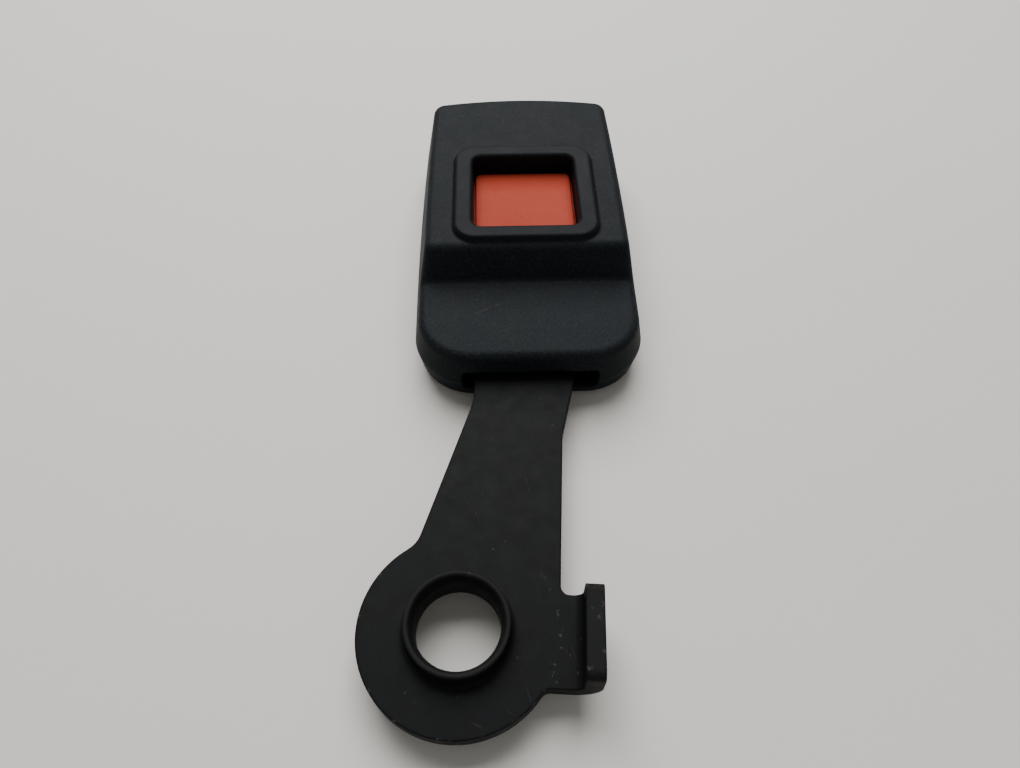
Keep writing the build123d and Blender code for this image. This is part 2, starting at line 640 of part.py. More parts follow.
# torsion spring about the latch pin: one leg up under the frame, one under the arm
rear_angle = radians(LATCH_REAR_ANGLE)
front_angle = radians(LATCH_FRONT_ANGLE)
torsion_seat = Plane(
    origin=(HEAD_X - LATCH_COIL_HALF - LATCH_WIRE / 2, PIN_Y, PIN_Z),
    x_dir=(0, sin(rear_angle), -cos(rear_angle)),
    z_dir=(1, 0, 0),
)
torsion_turns = LATCH_TURNS + (LATCH_FRONT_ANGLE - LATCH_REAR_ANGLE) / 360
torsion_coil = coil(
    torsion_seat, LATCH_SPRING_R, LATCH_WIRE, 2 * LATCH_COIL_HALF + LATCH_WIRE, torsion_turns
)
with BuildPart() as latch_spring:
    add(torsion_coil)
    for side, angle, length in (
        (-1, rear_angle, LATCH_REAR_LEG),
        (1, front_angle, LATCH_FRONT_LEG),
    ):
        leg_start = (
            HEAD_X + side * LATCH_COIL_HALF,
            PIN_Y + LATCH_SPRING_R * sin(angle),
            PIN_Z - LATCH_SPRING_R * cos(angle),
        )
        with BuildSketch(Plane(origin=leg_start, z_dir=(0, side * cos(angle), side * sin(angle)))):
            RegularPolygon(LATCH_WIRE / 2, 6)
        extrude(amount=length)
save(latch_spring, "latch_spring")


# ---- covers -------------------------------------------------------------------------
def head_outline(inset):
    """Plan of the head: bowed sides and mouth, round rear corners, shrunk by inset."""
    rear_y = HEAD_REAR_Y + inset
    mouth_y = HEAD_MOUTH_Y - inset
    half_rear, half_mid, half_mouth = (
        half - inset for half in (HEAD_HALF_REAR, HEAD_HALF_MID, HEAD_HALF_MOUTH)
    )
    with BuildSketch() as plan:
        with BuildLine():
            for side in (1, -1):
                ThreePointArc(
                    (side * half_rear, rear_y),
                    (side * half_mid, HEAD_MID_Y),
                    (side * half_mouth, mouth_y),
                )
            Line((-half_rear, rear_y), (half_rear, rear_y))
            ThreePointArc((-half_mouth, mouth_y), (0, mouth_y + MOUTH_BOW), (half_mouth, mouth_y))
        make_face()
        fillet(plan.vertices().sort_by(Axis.Y)[:2], radius=REAR_CORNER_R - inset)
        fillet(plan.vertices().sort_by(Axis.Y)[-2:], radius=MOUTH_CORNER_R - inset)
    return plan.sketch


def upper_form(inset):
    """The upper cover's shape as a solid, shrunk by inset on every side but the open one."""
    face = FACE_Z - inset
    deck = DECK_Z - inset
    slope_angle = atan2(FACE_Z - DECK_Z, SLOPE_TOP_Y - SLOPE_FOOT_Y)
    slope_shift = inset * tan(slope_angle / 2)
    with BuildPart() as form:
        with BuildSketch(head_plane(PARTING_Z)):
            add(head_outline(inset))
        extrude(amount=face - PARTING_Z, taper=UPPER_DRAFT)
        with BuildSketch(side_plane(-HEAD_HALF_MID - FAR)) as step:
            with BuildLine():
                Polyline(
                    (HEAD_REAR_Y - FAR, deck),
                    (SLOPE_FOOT_Y + slope_shift, deck),
                    (SLOPE_TOP_Y + slope_shift, face),
                    (HEAD_MOUTH_Y + FAR, face),
                    (HEAD_MOUTH_Y + FAR, FACE_Z + FAR),
                    (HEAD_REAR_Y - FAR, FACE_Z + FAR),
                    close=True,
                )
            make_face()
            fillet(step.vertices().sort_by_distance((SLOPE_FOOT_Y, deck))[0], SLOPE_FOOT_R)
            fillet(step.vertices().sort_by_distance((SLOPE_TOP_Y, face))[0], SLOPE_TOP_R)
        extrude(amount=2 * (HEAD_HALF_MID + FAR), mode=Mode.SUBTRACT)
        rim = form.edges().filter_by(lambda e: e.bounding_box().min.Z > deck - NEAR)
        across = rim.filter_by(Axis.X).filter_by(lambda e: e.center().Y > RIVET_Y)
        if UPPER_EDGE_R - inset > CORE_EDGE_R:
            fillet(rim - across, radius=UPPER_EDGE_R - inset)
    return form.part


def lower_form(inset):
    """The lower cover's tray as a solid, shrunk by inset on every side but the open one."""
    with BuildPart() as form:
        with BuildSketch(head_plane(PARTING_Z)):
            add(head_outline(inset))
        extrude(amount=-(PARTING_Z - BOTTOM_Z - inset), taper=LOWER_DRAFT)
        fillet(form.faces().sort_by(Axis.Z)[0].edges(), radius=max(LOWER_EDGE_R - inset, CORE_EDGE_R))
    return form.part


outer_upper = upper_form(0)
mid_upper = upper_form(WALL / 2)
inner_upper = upper_form(WALL)
outer_lower = lower_form(0)
mid_lower = lower_form(WALL / 2)
inner_lower = lower_form(WALL)
screw_places = [(side * SCREW_X, y) for side in (-1, 1) for y in SCREW_YS]


def strap_slot():
    """The rear slot as a block, to be cut from both covers' rear walls."""
    with BuildPart() as slot:
        with BuildSketch(cross_plane(HEAD_REAR_Y + 2 * WALL)):
            with Locations((0, sum(SLOT_Z) / 2)):
                RectangleRounded(2 * SLOT_HALF, SLOT_Z[1] - SLOT_Z[0], SLOT_R)
        extrude(amount=4 * WALL)
    return slot.part


def upper_ribs():
    """Ribs inside the upper cover that hold the latch frame down, cut to its mid wall."""
    base = FRAME_Z[1] + RIB_GAP
    tail = (-TAIL_RIB_HALF, TAIL_RIB_HALF)
    blocks = [box_between(tail, (TAIL_RIB_Y, TAIL_RIB_Y + RIB), (base, FACE_Z))]
    for side in (-1, 1):
        rear = sorted((side * REAR_RIB_X[0], side * REAR_RIB_X[1]))
        blocks.append(box_between(rear, (REAR_RIB_Y, REAR_RIB_Y + RIB), (base, FACE_Z)))
        outer = sorted((side * (SIDE_FLANGE_HALF + UPPER_RIB_GAP), side * HEAD_HALF_MID))
        for y in SIDE_RIB_YS:
            blocks.append(box_between(outer, (y, y + RIB), (base, FACE_Z)))
    return [block & mid_upper for block in blocks]


def lower_ribs():
    """Pads under the latch frame's walls and side guides, cut to the tray's mid wall."""
    blocks = []
    for side in (-1, 1):
        pad = sorted((side * PAD_X[0], side * PAD_X[1]))
        blocks.append(box_between(pad, PAD_Y, (BOTTOM_Z, FLANGE_Z - RIB_GAP)))
        guide = sorted((side * (FRAME_HALF + GUIDE_GAP), side * HEAD_HALF_MID))
        for y in SIDE_RIB_YS:
            blocks.append(box_between(guide, (y, y + RIB), (BOTTOM_Z, PARTING_Z)))
    return [block & mid_lower for block in blocks]


slot_block = strap_slot()
window_mid = sum(WINDOW_Y) / 2
window_length = WINDOW_Y[1] - WINDOW_Y[0]

with BuildPart() as upper_cover:
    add(outer_upper)
    # the bezel stands on the raised face
    with BuildSketch(head_plane(FACE_Z - BEZEL_SINK)):
        with Locations((0, sum(BEZEL_Y) / 2)):
            RectangleRounded(2 * BEZEL_HALF, BEZEL_Y[1] - BEZEL_Y[0], BEZEL_R)
    extrude(amount=BEZEL_TOP - FACE_Z + BEZEL_SINK, taper=BEZEL_TAPER)
    fillet(upper_cover.faces().sort_by(Axis.Z)[-1].edges(), radius=BEZEL_EDGE_R)
    add(inner_upper, mode=Mode.SUBTRACT)
    # a skirt runs down around the button and guides it
    with BuildSketch(head_plane(SKIRT_Z)):
        with Locations((0, window_mid)):
            RectangleRounded(
                2 * (WINDOW_HALF + SKIRT_WALL),
                window_length + 2 * SKIRT_WALL,
                WINDOW_R + SKIRT_WALL,
            )
    extrude(amount=FACE_Z - WALL / 2 - SKIRT_Z)
    with BuildSketch(head_plane(SKIRT_Z)):
        with Locations((0, window_mid)):
            RectangleRounded(2 * WINDOW_HALF, window_length, WINDOW_R)
    extrude(amount=BEZEL_TOP + LAP - SKIRT_Z, mode=Mode.SUBTRACT)
    window_rim = upper_cover.edges().filter_by(
        lambda e: e.bounding_box().min.Z > BEZEL_TOP - NEAR
        and abs(e.center().X - HEAD_X) < WINDOW_HALF + NEAR
        and abs(e.center().Y - window_mid) < window_length / 2 + NEAR
    )
    fillet(window_rim, radius=RIM_R)
    # the chute that leads the tongue in from the mouth
    chute = box_between(
        (-MOUTH_HALF - CHUTE_WALL, MOUTH_HALF + CHUTE_WALL),
        (CHUTE_REAR_Y, HEAD_MOUTH_Y + MOUTH_BOW),
        (MOUTH_Z[0] - CHUTE_WALL, MOUTH_Z[1] + CHUTE_WALL),
    )
    add(chute & mid_upper)
    with BuildSketch(cross_plane(HEAD_MOUTH_Y + 2 * MOUTH_BOW)):
        with Locations((0, sum(MOUTH_Z) / 2)):
            RectangleRounded(2 * MOUTH_HALF, MOUTH_Z[1] - MOUTH_Z[0], MOUTH_R)
    extrude(amount=HEAD_MOUTH_Y + 2 * MOUTH_BOW - CHUTE_REAR_Y + LAP, mode=Mode.SUBTRACT)
    mouth_rim = upper_cover.edges().filter_by(
        lambda e: e.bounding_box().min.Y > HEAD_MOUTH_Y - LAP
        and abs(e.center().Z - sum(MOUTH_Z) / 2) < MOUTH_Z[1] - MOUTH_Z[0]
        and abs(e.center().X - HEAD_X) < MOUTH_HALF + NEAR
        and e.bounding_box().min.Z > PARTING_Z + NEAR
    )
    fillet(mouth_rim, radius=MOUTH_LEAD_R)
    add(slot_block, mode=Mode.SUBTRACT)
    # screw bosses and ribs stand inside
    for place in screw_places:
        roof = (DECK_Z if place[1] < SLOPE_FOOT_Y else FACE_Z) - WALL / 2
        with BuildSketch(head_plane(PARTING_Z)):
            with Locations(place):
                Circle(BOSS_R)
        extrude(amount=roof - PARTING_Z)
    with BuildSketch(head_plane(PARTING_Z)):
        with Locations(*screw_places):
            Circle(SCREW_R + PRESS_GAP)
    extrude(amount=SCREW_TIP_Z + TIP_ROOM - PARTING_Z, mode=Mode.SUBTRACT)
    for rib in upper_ribs():
        add(rib)
save(upper_cover, "upper_cover")

with BuildPart() as lower_cover:
    add(outer_lower)
    add(inner_lower, mode=Mode.SUBTRACT)
    add(slot_block, mode=Mode.SUBTRACT)
    with BuildSketch(head_plane(BOTTOM_Z + WALL / 2)):
        with Locations(*screw_places):
            Circle(LOWER_BOSS_R)
    extrude(amount=PARTING_Z - BOTTOM_Z - WALL / 2)
    with BuildSketch(head_plane(BOTTOM_Z)):
        with Locations(*screw_places):
            Circle(SCREW_R + SCREW_PLAY)
    extrude(amount=PARTING_Z - BOTTOM_Z, mode=Mode.SUBTRACT)
    with BuildSketch(head_plane(BOTTOM_Z)):
        with Locations(*screw_places):
            Circle(COUNTERBORE_R)
    extrude(amount=COUNTERBORE_Z - BOTTOM_Z, mode=Mode.SUBTRACT)
    for rib in lower_ribs():
        add(rib)
save(lower_cover, "lower_cover")

# ---- four self-tapping screws from below --------------------------------------------
for number, place in enumerate(screw_places, start=1):
    with BuildPart() as cover_screw:
        with BuildSketch(head_plane(COUNTERBORE_Z)):
            with Locations(place):
                Circle(SCREW_HEAD_R)
        extrude(amount=-SCREW_HEAD_H)
        chamfer(cover_screw.faces().sort_by(Axis.Z)[0].edges(), length=HEAD_CHAMFER)
        with BuildSketch(head_plane(COUNTERBORE_Z)):
            with Locations(place):
                Circle(SCREW_R)
        extrude(amount=SCREW_TIP_Z - COUNTERBORE_Z)
        chamfer(cover_screw.faces().sort_by(Axis.Z)[-1].edges(), length=TIP_CHAMFER)
        # cross recess
        with BuildSketch(head_plane(COUNTERBORE_Z - SCREW_HEAD_H)):
            with Locations(place):
                Rectangle(CROSS[0], CROSS[1])
                Rectangle(CROSS[1], CROSS[0])
        extrude(amount=CROSS_DEPTH, mode=Mode.SUBTRACT)
    save(cover_screw, f"cover_screw_{number}")
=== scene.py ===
# %% [markdown]
# # A seat belt buckle, dressed for its portrait
# The construction model gives every piece its real shape and place. This script loads it as a
# fixed frame, gives each piece the finish that its maker would give it, puts in springs of
# round wire, and sets the camera, the light and the floor.

# %% Load the frame
import json
from math import cos, radians, sin

import bpy
import numpy as np
from mathutils import Matrix, Vector


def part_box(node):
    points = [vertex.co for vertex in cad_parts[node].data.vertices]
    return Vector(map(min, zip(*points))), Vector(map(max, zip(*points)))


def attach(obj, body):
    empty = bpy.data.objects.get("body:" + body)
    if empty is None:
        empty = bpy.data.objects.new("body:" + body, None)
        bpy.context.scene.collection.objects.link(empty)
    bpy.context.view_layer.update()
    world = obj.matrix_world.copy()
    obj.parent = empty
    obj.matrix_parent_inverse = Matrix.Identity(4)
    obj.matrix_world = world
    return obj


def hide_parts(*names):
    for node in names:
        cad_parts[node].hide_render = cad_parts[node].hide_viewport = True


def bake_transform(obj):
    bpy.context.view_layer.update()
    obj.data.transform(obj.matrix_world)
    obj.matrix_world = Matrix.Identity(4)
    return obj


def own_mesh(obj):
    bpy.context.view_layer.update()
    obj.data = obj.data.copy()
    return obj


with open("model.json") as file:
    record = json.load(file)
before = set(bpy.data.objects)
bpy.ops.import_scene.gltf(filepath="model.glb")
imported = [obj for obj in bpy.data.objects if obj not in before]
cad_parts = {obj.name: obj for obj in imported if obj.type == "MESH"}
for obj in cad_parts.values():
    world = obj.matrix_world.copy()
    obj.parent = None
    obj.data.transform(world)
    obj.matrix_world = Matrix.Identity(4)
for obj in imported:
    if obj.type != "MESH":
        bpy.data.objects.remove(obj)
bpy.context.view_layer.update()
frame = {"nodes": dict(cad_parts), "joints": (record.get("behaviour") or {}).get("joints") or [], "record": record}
nodes = frame["nodes"]
MM = 0.001

# %% [markdown]
# ## Places worked out from the frame
# A finish changes where the shape does: on the bezel and at the rim of the round end, and
# painted shade darkens the inside of the recess. The outermost of those places come from the
# boxes of the pieces, and the bolt hole is at the origin. A box says nothing of what lies
# inside it, so the last lines name those sizes.

# %% Places
cover_low, cover_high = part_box("upper_cover")
tray_low, tray_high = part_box("lower_cover")
button_low, button_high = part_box("press_button")
strap_low, strap_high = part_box("anchor_strap")
HEAD_X = (cover_low.x + cover_high.x) / 2
BUTTON_Y = (button_low.y + button_high.y) / 2
SEAM_Z = tray_high.z
FLOOR_Z = tray_low.z
BEZEL_TOP = cover_high.z
TAB_TOP = strap_high.z
DISC_R = -strap_low.x  # the strap's round end
FACE_Z = 15.5 * MM  # the raised face that the bezel stands on
BEZEL_HALF = 18.85 * MM  # half the bezel's width
WELL_HALF = 14.6 * MM  # half the recess, with its rounded rim
CAP_HALF = 13.0 * MM  # half the button's cap, from its near edge to its far one
LIP_INNER, LIP_OUTER = 9.2 * MM, 10.2 * MM  # radii of the collar's lip
LIP_FOOT = 3.6 * MM  # height of the lip's outer edge
print("head centre line x =", round(HEAD_X / MM, 2), "mm, floor z =", round(FLOOR_Z / MM, 2), "mm")
print("bezel top z =", round(BEZEL_TOP / MM, 2), "mm, round end r =", round(DISC_R / MM, 2), "mm")

# %% [markdown]
# ## Shader maths written as sums
# A material is a graph of nodes, and a sum of masks takes a dozen of them. One small class
# wraps a socket and overloads the operators, so that `1 - mask * 0.3` adds its own Math nodes.
# Every other node comes from one method: its type, its settings, and then its sockets.

# %% A socket with operators, and the graph it belongs to
class Socket:
    """An output of the graph. Arithmetic on it adds Math nodes and gives a new Socket."""

    def __init__(self, graph, link):
        self.graph = graph
        self.link = link

    def __add__(self, other):
        return self.graph.maths("ADD", self, other)

    def __sub__(self, other):
        return self.graph.maths("SUBTRACT", self, other)

    def __mul__(self, other):
        return self.graph.maths("MULTIPLY", self, other)

    def __radd__(self, other):
        return self.graph.maths("ADD", other, self)

    def __rsub__(self, other):
        return self.graph.maths("SUBTRACT", other, self)

    def __pow__(self, other):
        return self.graph.maths("POWER", self, other)


class Graph:
    """A material's node tree, with one method that makes any node."""

    def __init__(self, name):
        self.material = bpy.data.materials.new(name)
        self.material.use_nodes = True
        self.tree = self.material.node_tree
        self.tree.nodes.clear()
        self.place = self.node("ShaderNodeTexCoord", {}, "Object")

    def node(self, kind, settings, output, **values):
        """Add a node: settings first, then values or links by socket name or number."""
        made = self.tree.nodes.new(kind)
        for key, value in settings.items():
            setattr(made, key, value)
        for key, value in values.items():
            key = int(key[1:]) if key[0] == "n" and key[1:].isdigit() else key.replace("_", " ")
            self.feed(made.inputs[key], value)
        return Socket(self, made.outputs[output])

    def feed(self, entry, value):
        """Link a Socket to an input, or set the input's own value."""
        if isinstance(value, Socket):
            self.tree.links.new(value.link, entry)
        else:
            entry.default_value = value

    def maths(self, operation, a, b):
        return self.node("ShaderNodeMath", {"operation": operation}, 0, n0=a, n1=b)

    def clamp(self, value, low=0.0, high=1.0):
        return self.node("ShaderNodeClamp", {}, 0, Value=value, Min=low, Max=high)

    def ramp(self, value, low, high):
        """0 below low, 1 above high, and a smooth step between them."""
        settings = {"interpolation_type": "SMOOTHSTEP"}
        return self.node("ShaderNodeMapRange", settings, 0, n0=value, n1=low, n2=high)

    def blend(self, factor, a, b):
        """Colour a where factor is 0, colour b where it is 1."""
        made = self.tree.nodes.new("ShaderNodeMix")
        made.data_type = "RGBA"
        self.feed(made.inputs["Factor"], factor)
        self.feed(made.inputs[6], a)
        self.feed(made.inputs[7], b)
        return Socket(self, made.outputs[2])

    def noise(self, size, detail=2.0, rough=0.5, where=None):
        """Soft noise around 0.5. A blob is about 0.6 of a unit, so this makes it size metres."""
        return self.node(
            "ShaderNodeTexNoise", {}, "Fac",
            Vector=where or self.place, Scale=0.6 / size, Detail=detail, Roughness=rough,
        )

    def cells(self, size, feature="F1"):
        """Cells about size metres across: how far the nearest centre is, in cell sizes."""
        return self.node(
            "ShaderNodeTexVoronoi", {"feature": feature}, "Distance",
            Vector=self.place, Scale=1 / size, Randomness=1.0,
        )

    def mapped(self, turn=0.0, scale=(1, 1, 1)):
        """Object coordinates turned about Z and then multiplied by scale. A scale below 1 draws
        the pattern out along that axis."""
        turned = self.node(
            "ShaderNodeMapping", {"vector_type": "TEXTURE"}, 0,
            Vector=self.place, Rotation=(0, 0, turn),
        )
        return self.node(
            "ShaderNodeMapping", {"vector_type": "POINT"}, 0, Vector=turned, Scale=scale
        )

    def axes(self, where):
        """The x, y and z of a vector as three sockets."""
        split = self.tree.nodes.new("ShaderNodeSeparateXYZ")
        self.feed(split.inputs[0], where)
        return [Socket(self, split.outputs[i]) for i in range(3)]

    def bump(self, height, depth, strength=1.0, normal=None):
        """A bump of that depth in metres. A normal from an earlier bump is kept."""
        values = {"Height": height, "Distance": depth, "Strength": strength}
        if normal:
            values["Normal"] = normal
        return self.node("ShaderNodeBump", {}, 0, **values)

    def soft_edges(self, radius):
        """A normal that rolls over every sharp edge within radius metres of it."""
        return self.node("ShaderNodeBevel", {"samples": 6}, 0, Radius=radius)

    def finish(self, base, roughness, normal, **constants):
        """Close the graph with the shader. Constants are set on the shader's own sockets."""
        shader = self.tree.nodes.new("ShaderNodeBsdfPrincipled")
        self.feed(shader.inputs["Base Color"], base)
        self.feed(shader.inputs["Roughness"], roughness)
        self.feed(shader.inputs["Normal"], normal)
        for key, value in constants.items():
            self.feed(shader.inputs[key.replace("_", " ")], value)
        output = self.tree.nodes.new("ShaderNodeOutputMaterial")
        self.tree.links.new(shader.outputs[0], output.inputs[0])
        return self.material


def grey(value, warm=0.0):
    """A near-grey linear colour, a little warm or, below 0, a little cold."""
    return (value * (1 + warm), value, value * (1 - warm), 1.0)


# %% [markdown]
# ## Black moulded covers
# The covers come out of a spark-eroded mould: a fine even grain on the broad faces, and a
# smoother bezel round the button where fingers rub. Grain is too fine to model, so it is a
# bump from small cells. Dust, faint scratches and a few pale specks keep it from looking new.
# The bezel and the parting line are a shade darker than the rest, and painted shade darkens
# the walls of the recess.

# %% Covers
def moulded_black():
    g = Graph("moulded_black")
    x, y, z = g.axes(g.place)
    across = g.maths("ABSOLUTE", x - HEAD_X, 0)
    along = g.maths("ABSOLUTE", y - BUTTON_Y, 0)
    inside = g.maths("MAXIMUM", across, along)
    smooth = 1 - g.ramp(inside, BEZEL_HALF - 0.65 * MM, BEZEL_HALF - 0.05 * MM)
    smooth = smooth * g.ramp(z, FACE_Z - 0.2 * MM, FACE_Z + 0.2 * MM)
    # Painted shade: the recess's walls below the bezel's rim get a darker colour.
    recess_shade = 1 - g.ramp(inside, WELL_HALF, WELL_HALF + 0.3 * MM)
    recess_shade = recess_shade * (1 - g.ramp(z, BEZEL_TOP - 2.4 * MM, BEZEL_TOP - 0.6 * MM))
    grain = g.cells(0.52 * MM, feature="SMOOTH_F1")
    fine = g.noise(0.15 * MM, detail=1.0)
    cloud = g.noise(13 * MM, detail=3.0)
    patch = g.noise(3.0 * MM, detail=4.0, rough=0.6)
    streaks = g.noise(2.0 * MM, detail=2.0, where=g.mapped(turn=0.5, scale=(0.12, 2.4, 1.0)))
    scratch = g.ramp(streaks, 0.68, 0.71) * g.ramp(patch, 0.5, 0.62)
    speck = (1 - g.ramp(g.cells(4.6 * MM), 0.0, 0.05)) * g.ramp(cloud, 0.5, 0.56)
    seam = 1 - g.ramp(g.maths("ABSOLUTE", z - SEAM_Z, 0), 0.04 * MM, 0.14 * MM)
    dust = g.ramp(patch, 0.45, 0.8) * 0.35 + g.ramp(cloud, 0.35, 0.75) * 0.35
    base = g.blend(g.clamp(dust), grey(0.0085, -0.22), grey(0.0135, -0.19))
    base = g.blend(g.clamp(grain - 0.25), base, grey(0.0230, -0.16))
    base = g.blend(g.clamp(scratch * 0.25), base, grey(0.04, -0.02))
    base = g.blend(g.clamp(speck * 0.7), base, grey(0.12, 0.06))
    # Painted shade in the recess, the parting line's dark joint and the bezel's darker tone.
    base = g.blend(g.clamp(recess_shade * 0.5 + seam * 0.7 + smooth * 0.45), base, grey(0.004, -0.25))
    rough = 0.54 + (patch - 0.5) * 0.18 + (cloud - 0.5) * 0.10 - smooth * 0.06
    normal = g.bump(grain, 0.075 * MM, 0.9 - smooth * 0.7, g.soft_edges(0.9 * MM))
    normal = g.bump(fine * 0.5 + patch * 0.3 - seam * 4.0, 0.014 * MM, 0.7, normal)
    return g.finish(base, g.clamp(rough, 0.3, 0.8), normal, Specular_IOR_Level=0.055)


# %% [markdown]
# ## The red button
# The button is moulded in its own colour, a warm red that has faded and taken in dirt. It is
# nearly matt from years of thumbs. A broad cloud moves the hue and small dark specks sit in the
# surface. Painted shade, broken up in patches, darkens the cap towards its edges, where the
# recess walls stand over it.

# %% Button
def button_red():
    g = Graph("button_red")
    x, y, _ = g.axes(g.place)
    across = g.maths("ABSOLUTE", x - HEAD_X, 0)
    along = g.maths("ABSOLUTE", y - BUTTON_Y, 0)
    edge = g.ramp(g.maths("MAXIMUM", across, along), CAP_HALF - 2.4 * MM, CAP_HALF + 0.2 * MM)
    cloud = g.noise(9 * MM, detail=3.0)
    patch = g.noise(1.6 * MM, detail=4.0, rough=0.6)
    speck = 1 - g.ramp(g.cells(1.7 * MM), 0.04, 0.12)
    few = g.ramp(g.noise(3.0 * MM), 0.52, 0.60)
    scuffs = g.noise(1.5 * MM, where=g.mapped(turn=-0.9, scale=(0.15, 2.2, 1.0)))
    scuff = g.ramp(scuffs, 0.64, 0.70) * g.ramp(patch, 0.45, 0.6)
    base = g.blend(cloud, (0.32, 0.037, 0.019, 1), (0.39, 0.053, 0.030, 1))
    # Painted shade: the cap darkens in patches towards its edges, next to the recess walls.
    base = g.blend(g.clamp(edge * (0.2 + patch * 0.4)), base, (0.22, 0.018, 0.010, 1))
    base = g.blend(g.clamp(scuff * 0.25), base, (0.44, 0.11, 0.07, 1))
    base = g.blend(g.clamp(speck * few * 0.8), base, (0.09, 0.018, 0.014, 1))
    rough = 0.52 + (patch - 0.5) * 0.2 + scuff * 0.08
    normal = g.bump(g.noise(0.35 * MM, detail=2.0) + patch * 0.6, 0.02 * MM, 0.5)
    return g.finish(base, g.clamp(rough, 0.3, 0.75), normal, Specular_IOR_Level=0.06)


# %% [markdown]
# ## The strap's black coat
# The plate is stamped, bent and then coated satin black. The coat lies with a slight orange
# peel over the stamping's skin. It is scratched where it has knocked against other steel, worn
# paler on the collar's lip, and chipped to grey on the rim of the round end and the tab's top.

# %% Strap
def coated_steel():
    g = Graph("coated_steel")
    x, y, z = g.axes(g.place)
    radius = (x * x + y * y) ** 0.5
    rim = g.ramp(radius, DISC_R - 0.66 * MM, DISC_R - 0.06 * MM)
    rim = rim * (1 - g.ramp(radius, DISC_R + 0.14 * MM, DISC_R + 0.84 * MM))
    lip = g.ramp(radius, LIP_INNER - 0.2 * MM, LIP_INNER + 0.1 * MM)
    lip = lip * (1 - g.ramp(radius, LIP_OUTER - 0.3 * MM, LIP_OUTER))
    lip = lip * g.ramp(z, LIP_FOOT - 0.3 * MM, LIP_FOOT + 0.3 * MM)
    tab = g.ramp(z, TAB_TOP - 1.4 * MM, TAB_TOP - 0.1 * MM)
    peel = g.noise(0.5 * MM, detail=1.5)
    skin = g.noise(2.4 * MM, detail=4.0, rough=0.6)
    cloud = g.noise(9 * MM, detail=3.0)
    rust = g.ramp(g.noise(5 * MM, detail=4.0), 0.48, 0.68)
    nick = g.ramp(g.noise(1.1 * MM, detail=3.0, rough=0.65), 0.60, 0.66)
    pits = (1 - g.ramp(g.cells(2.6 * MM), 0.05, 0.13)) * g.ramp(cloud, 0.50, 0.58)
    lines = g.noise(1.2 * MM, where=g.mapped(turn=0.25, scale=(2.2, 0.12, 1.0)))
    lines_too = g.noise(1.2 * MM, where=g.mapped(turn=1.1, scale=(2.6, 0.10, 1.0)))
    scratch = g.ramp(lines, 0.66, 0.69) + g.ramp(lines_too, 0.67, 0.70)
    scratch = scratch * g.ramp(skin, 0.48, 0.62)
    chip = g.clamp(rim * nick * 0.5 + tab * nick * 0.35)
    base = g.blend(cloud, grey(0.0056, -0.12), grey(0.0094, -0.08))
    base = g.blend(rust * 0.35, base, (0.0105, 0.0074, 0.0062, 1))
    base = g.blend(g.clamp(scratch * 0.3), base, grey(0.035, 0.0))
    base = g.blend(g.clamp(pits * 0.4), base, grey(0.055, 0.05))
    base = g.blend(g.clamp(lip * (0.15 + skin * 0.4) + tab * 0.1), base, grey(0.024, 0.02))
    base = g.blend(chip, base, grey(0.070, 0.08))
    rough = 0.52 + (skin - 0.5) * 0.3 + (cloud - 0.5) * 0.12 + scratch * 0.06 + lip * 0.06
    normal = g.bump(peel, 0.035 * MM, 0.5, g.soft_edges(0.7 * MM))
    normal = g.bump(skin - chip * 0.6 - pits * 0.4, 0.07 * MM, 0.55, normal)
    return g.finish(base, g.clamp(rough, 0.3, 0.8), normal, Specular_IOR_Level=0.055)


# %% [markdown]
# ## Metals and plastics inside
# What sits inside is plain industrial finish: zinc plate that has gone cloudy on the pressed
# steel, bright wire on the springs, black oxide on the screws, and undyed plastic on the
# washers and the ejector. One function makes each metal from its colour and its grain, and a
# second makes the plastics.

# %% Inner finishes
def worked_metal(name, dark, bright, rough, grain, scale):
    """A metal with cloudy patches and a drawn or rolled grain, longest where scale is least."""
    g = Graph(name)
    cloud = g.noise(5 * MM, detail=4.0, rough=0.6)
    drawn = g.noise(grain, detail=2.0, where=g.mapped(scale=scale))
    spots = g.ramp(g.noise(0.8 * MM, detail=3.0), 0.6, 0.7)
    base = g.blend(g.clamp(cloud * 0.7 + drawn * 0.3), dark, bright)
    base = g.blend(spots * 0.3, base, dark)
    rough = rough + (cloud - 0.5) * 0.25 + spots * 0.15
    normal = g.bump(drawn, 0.012 * MM, 0.6)
    return g.finish(base, g.clamp(rough, 0.15, 0.8), normal, Metallic=1.0)


def undyed_plastic(name, colour, aged):
    """Natural plastic: creamy, a little uneven, with grease darkening patches of it."""
    g = Graph(name)
    cloud = g.noise(4 * MM, detail=3.0)
    patch = g.noise(0.9 * MM, detail=3.0)
    base = g.blend(g.ramp(cloud, 0.35, 0.75) * 0.6 + patch * 0.15, colour, aged)
    normal = g.bump(patch, 0.015 * MM, 0.5)
    return g.finish(base, 0.42 + (patch - 0.5) * 0.2, normal)


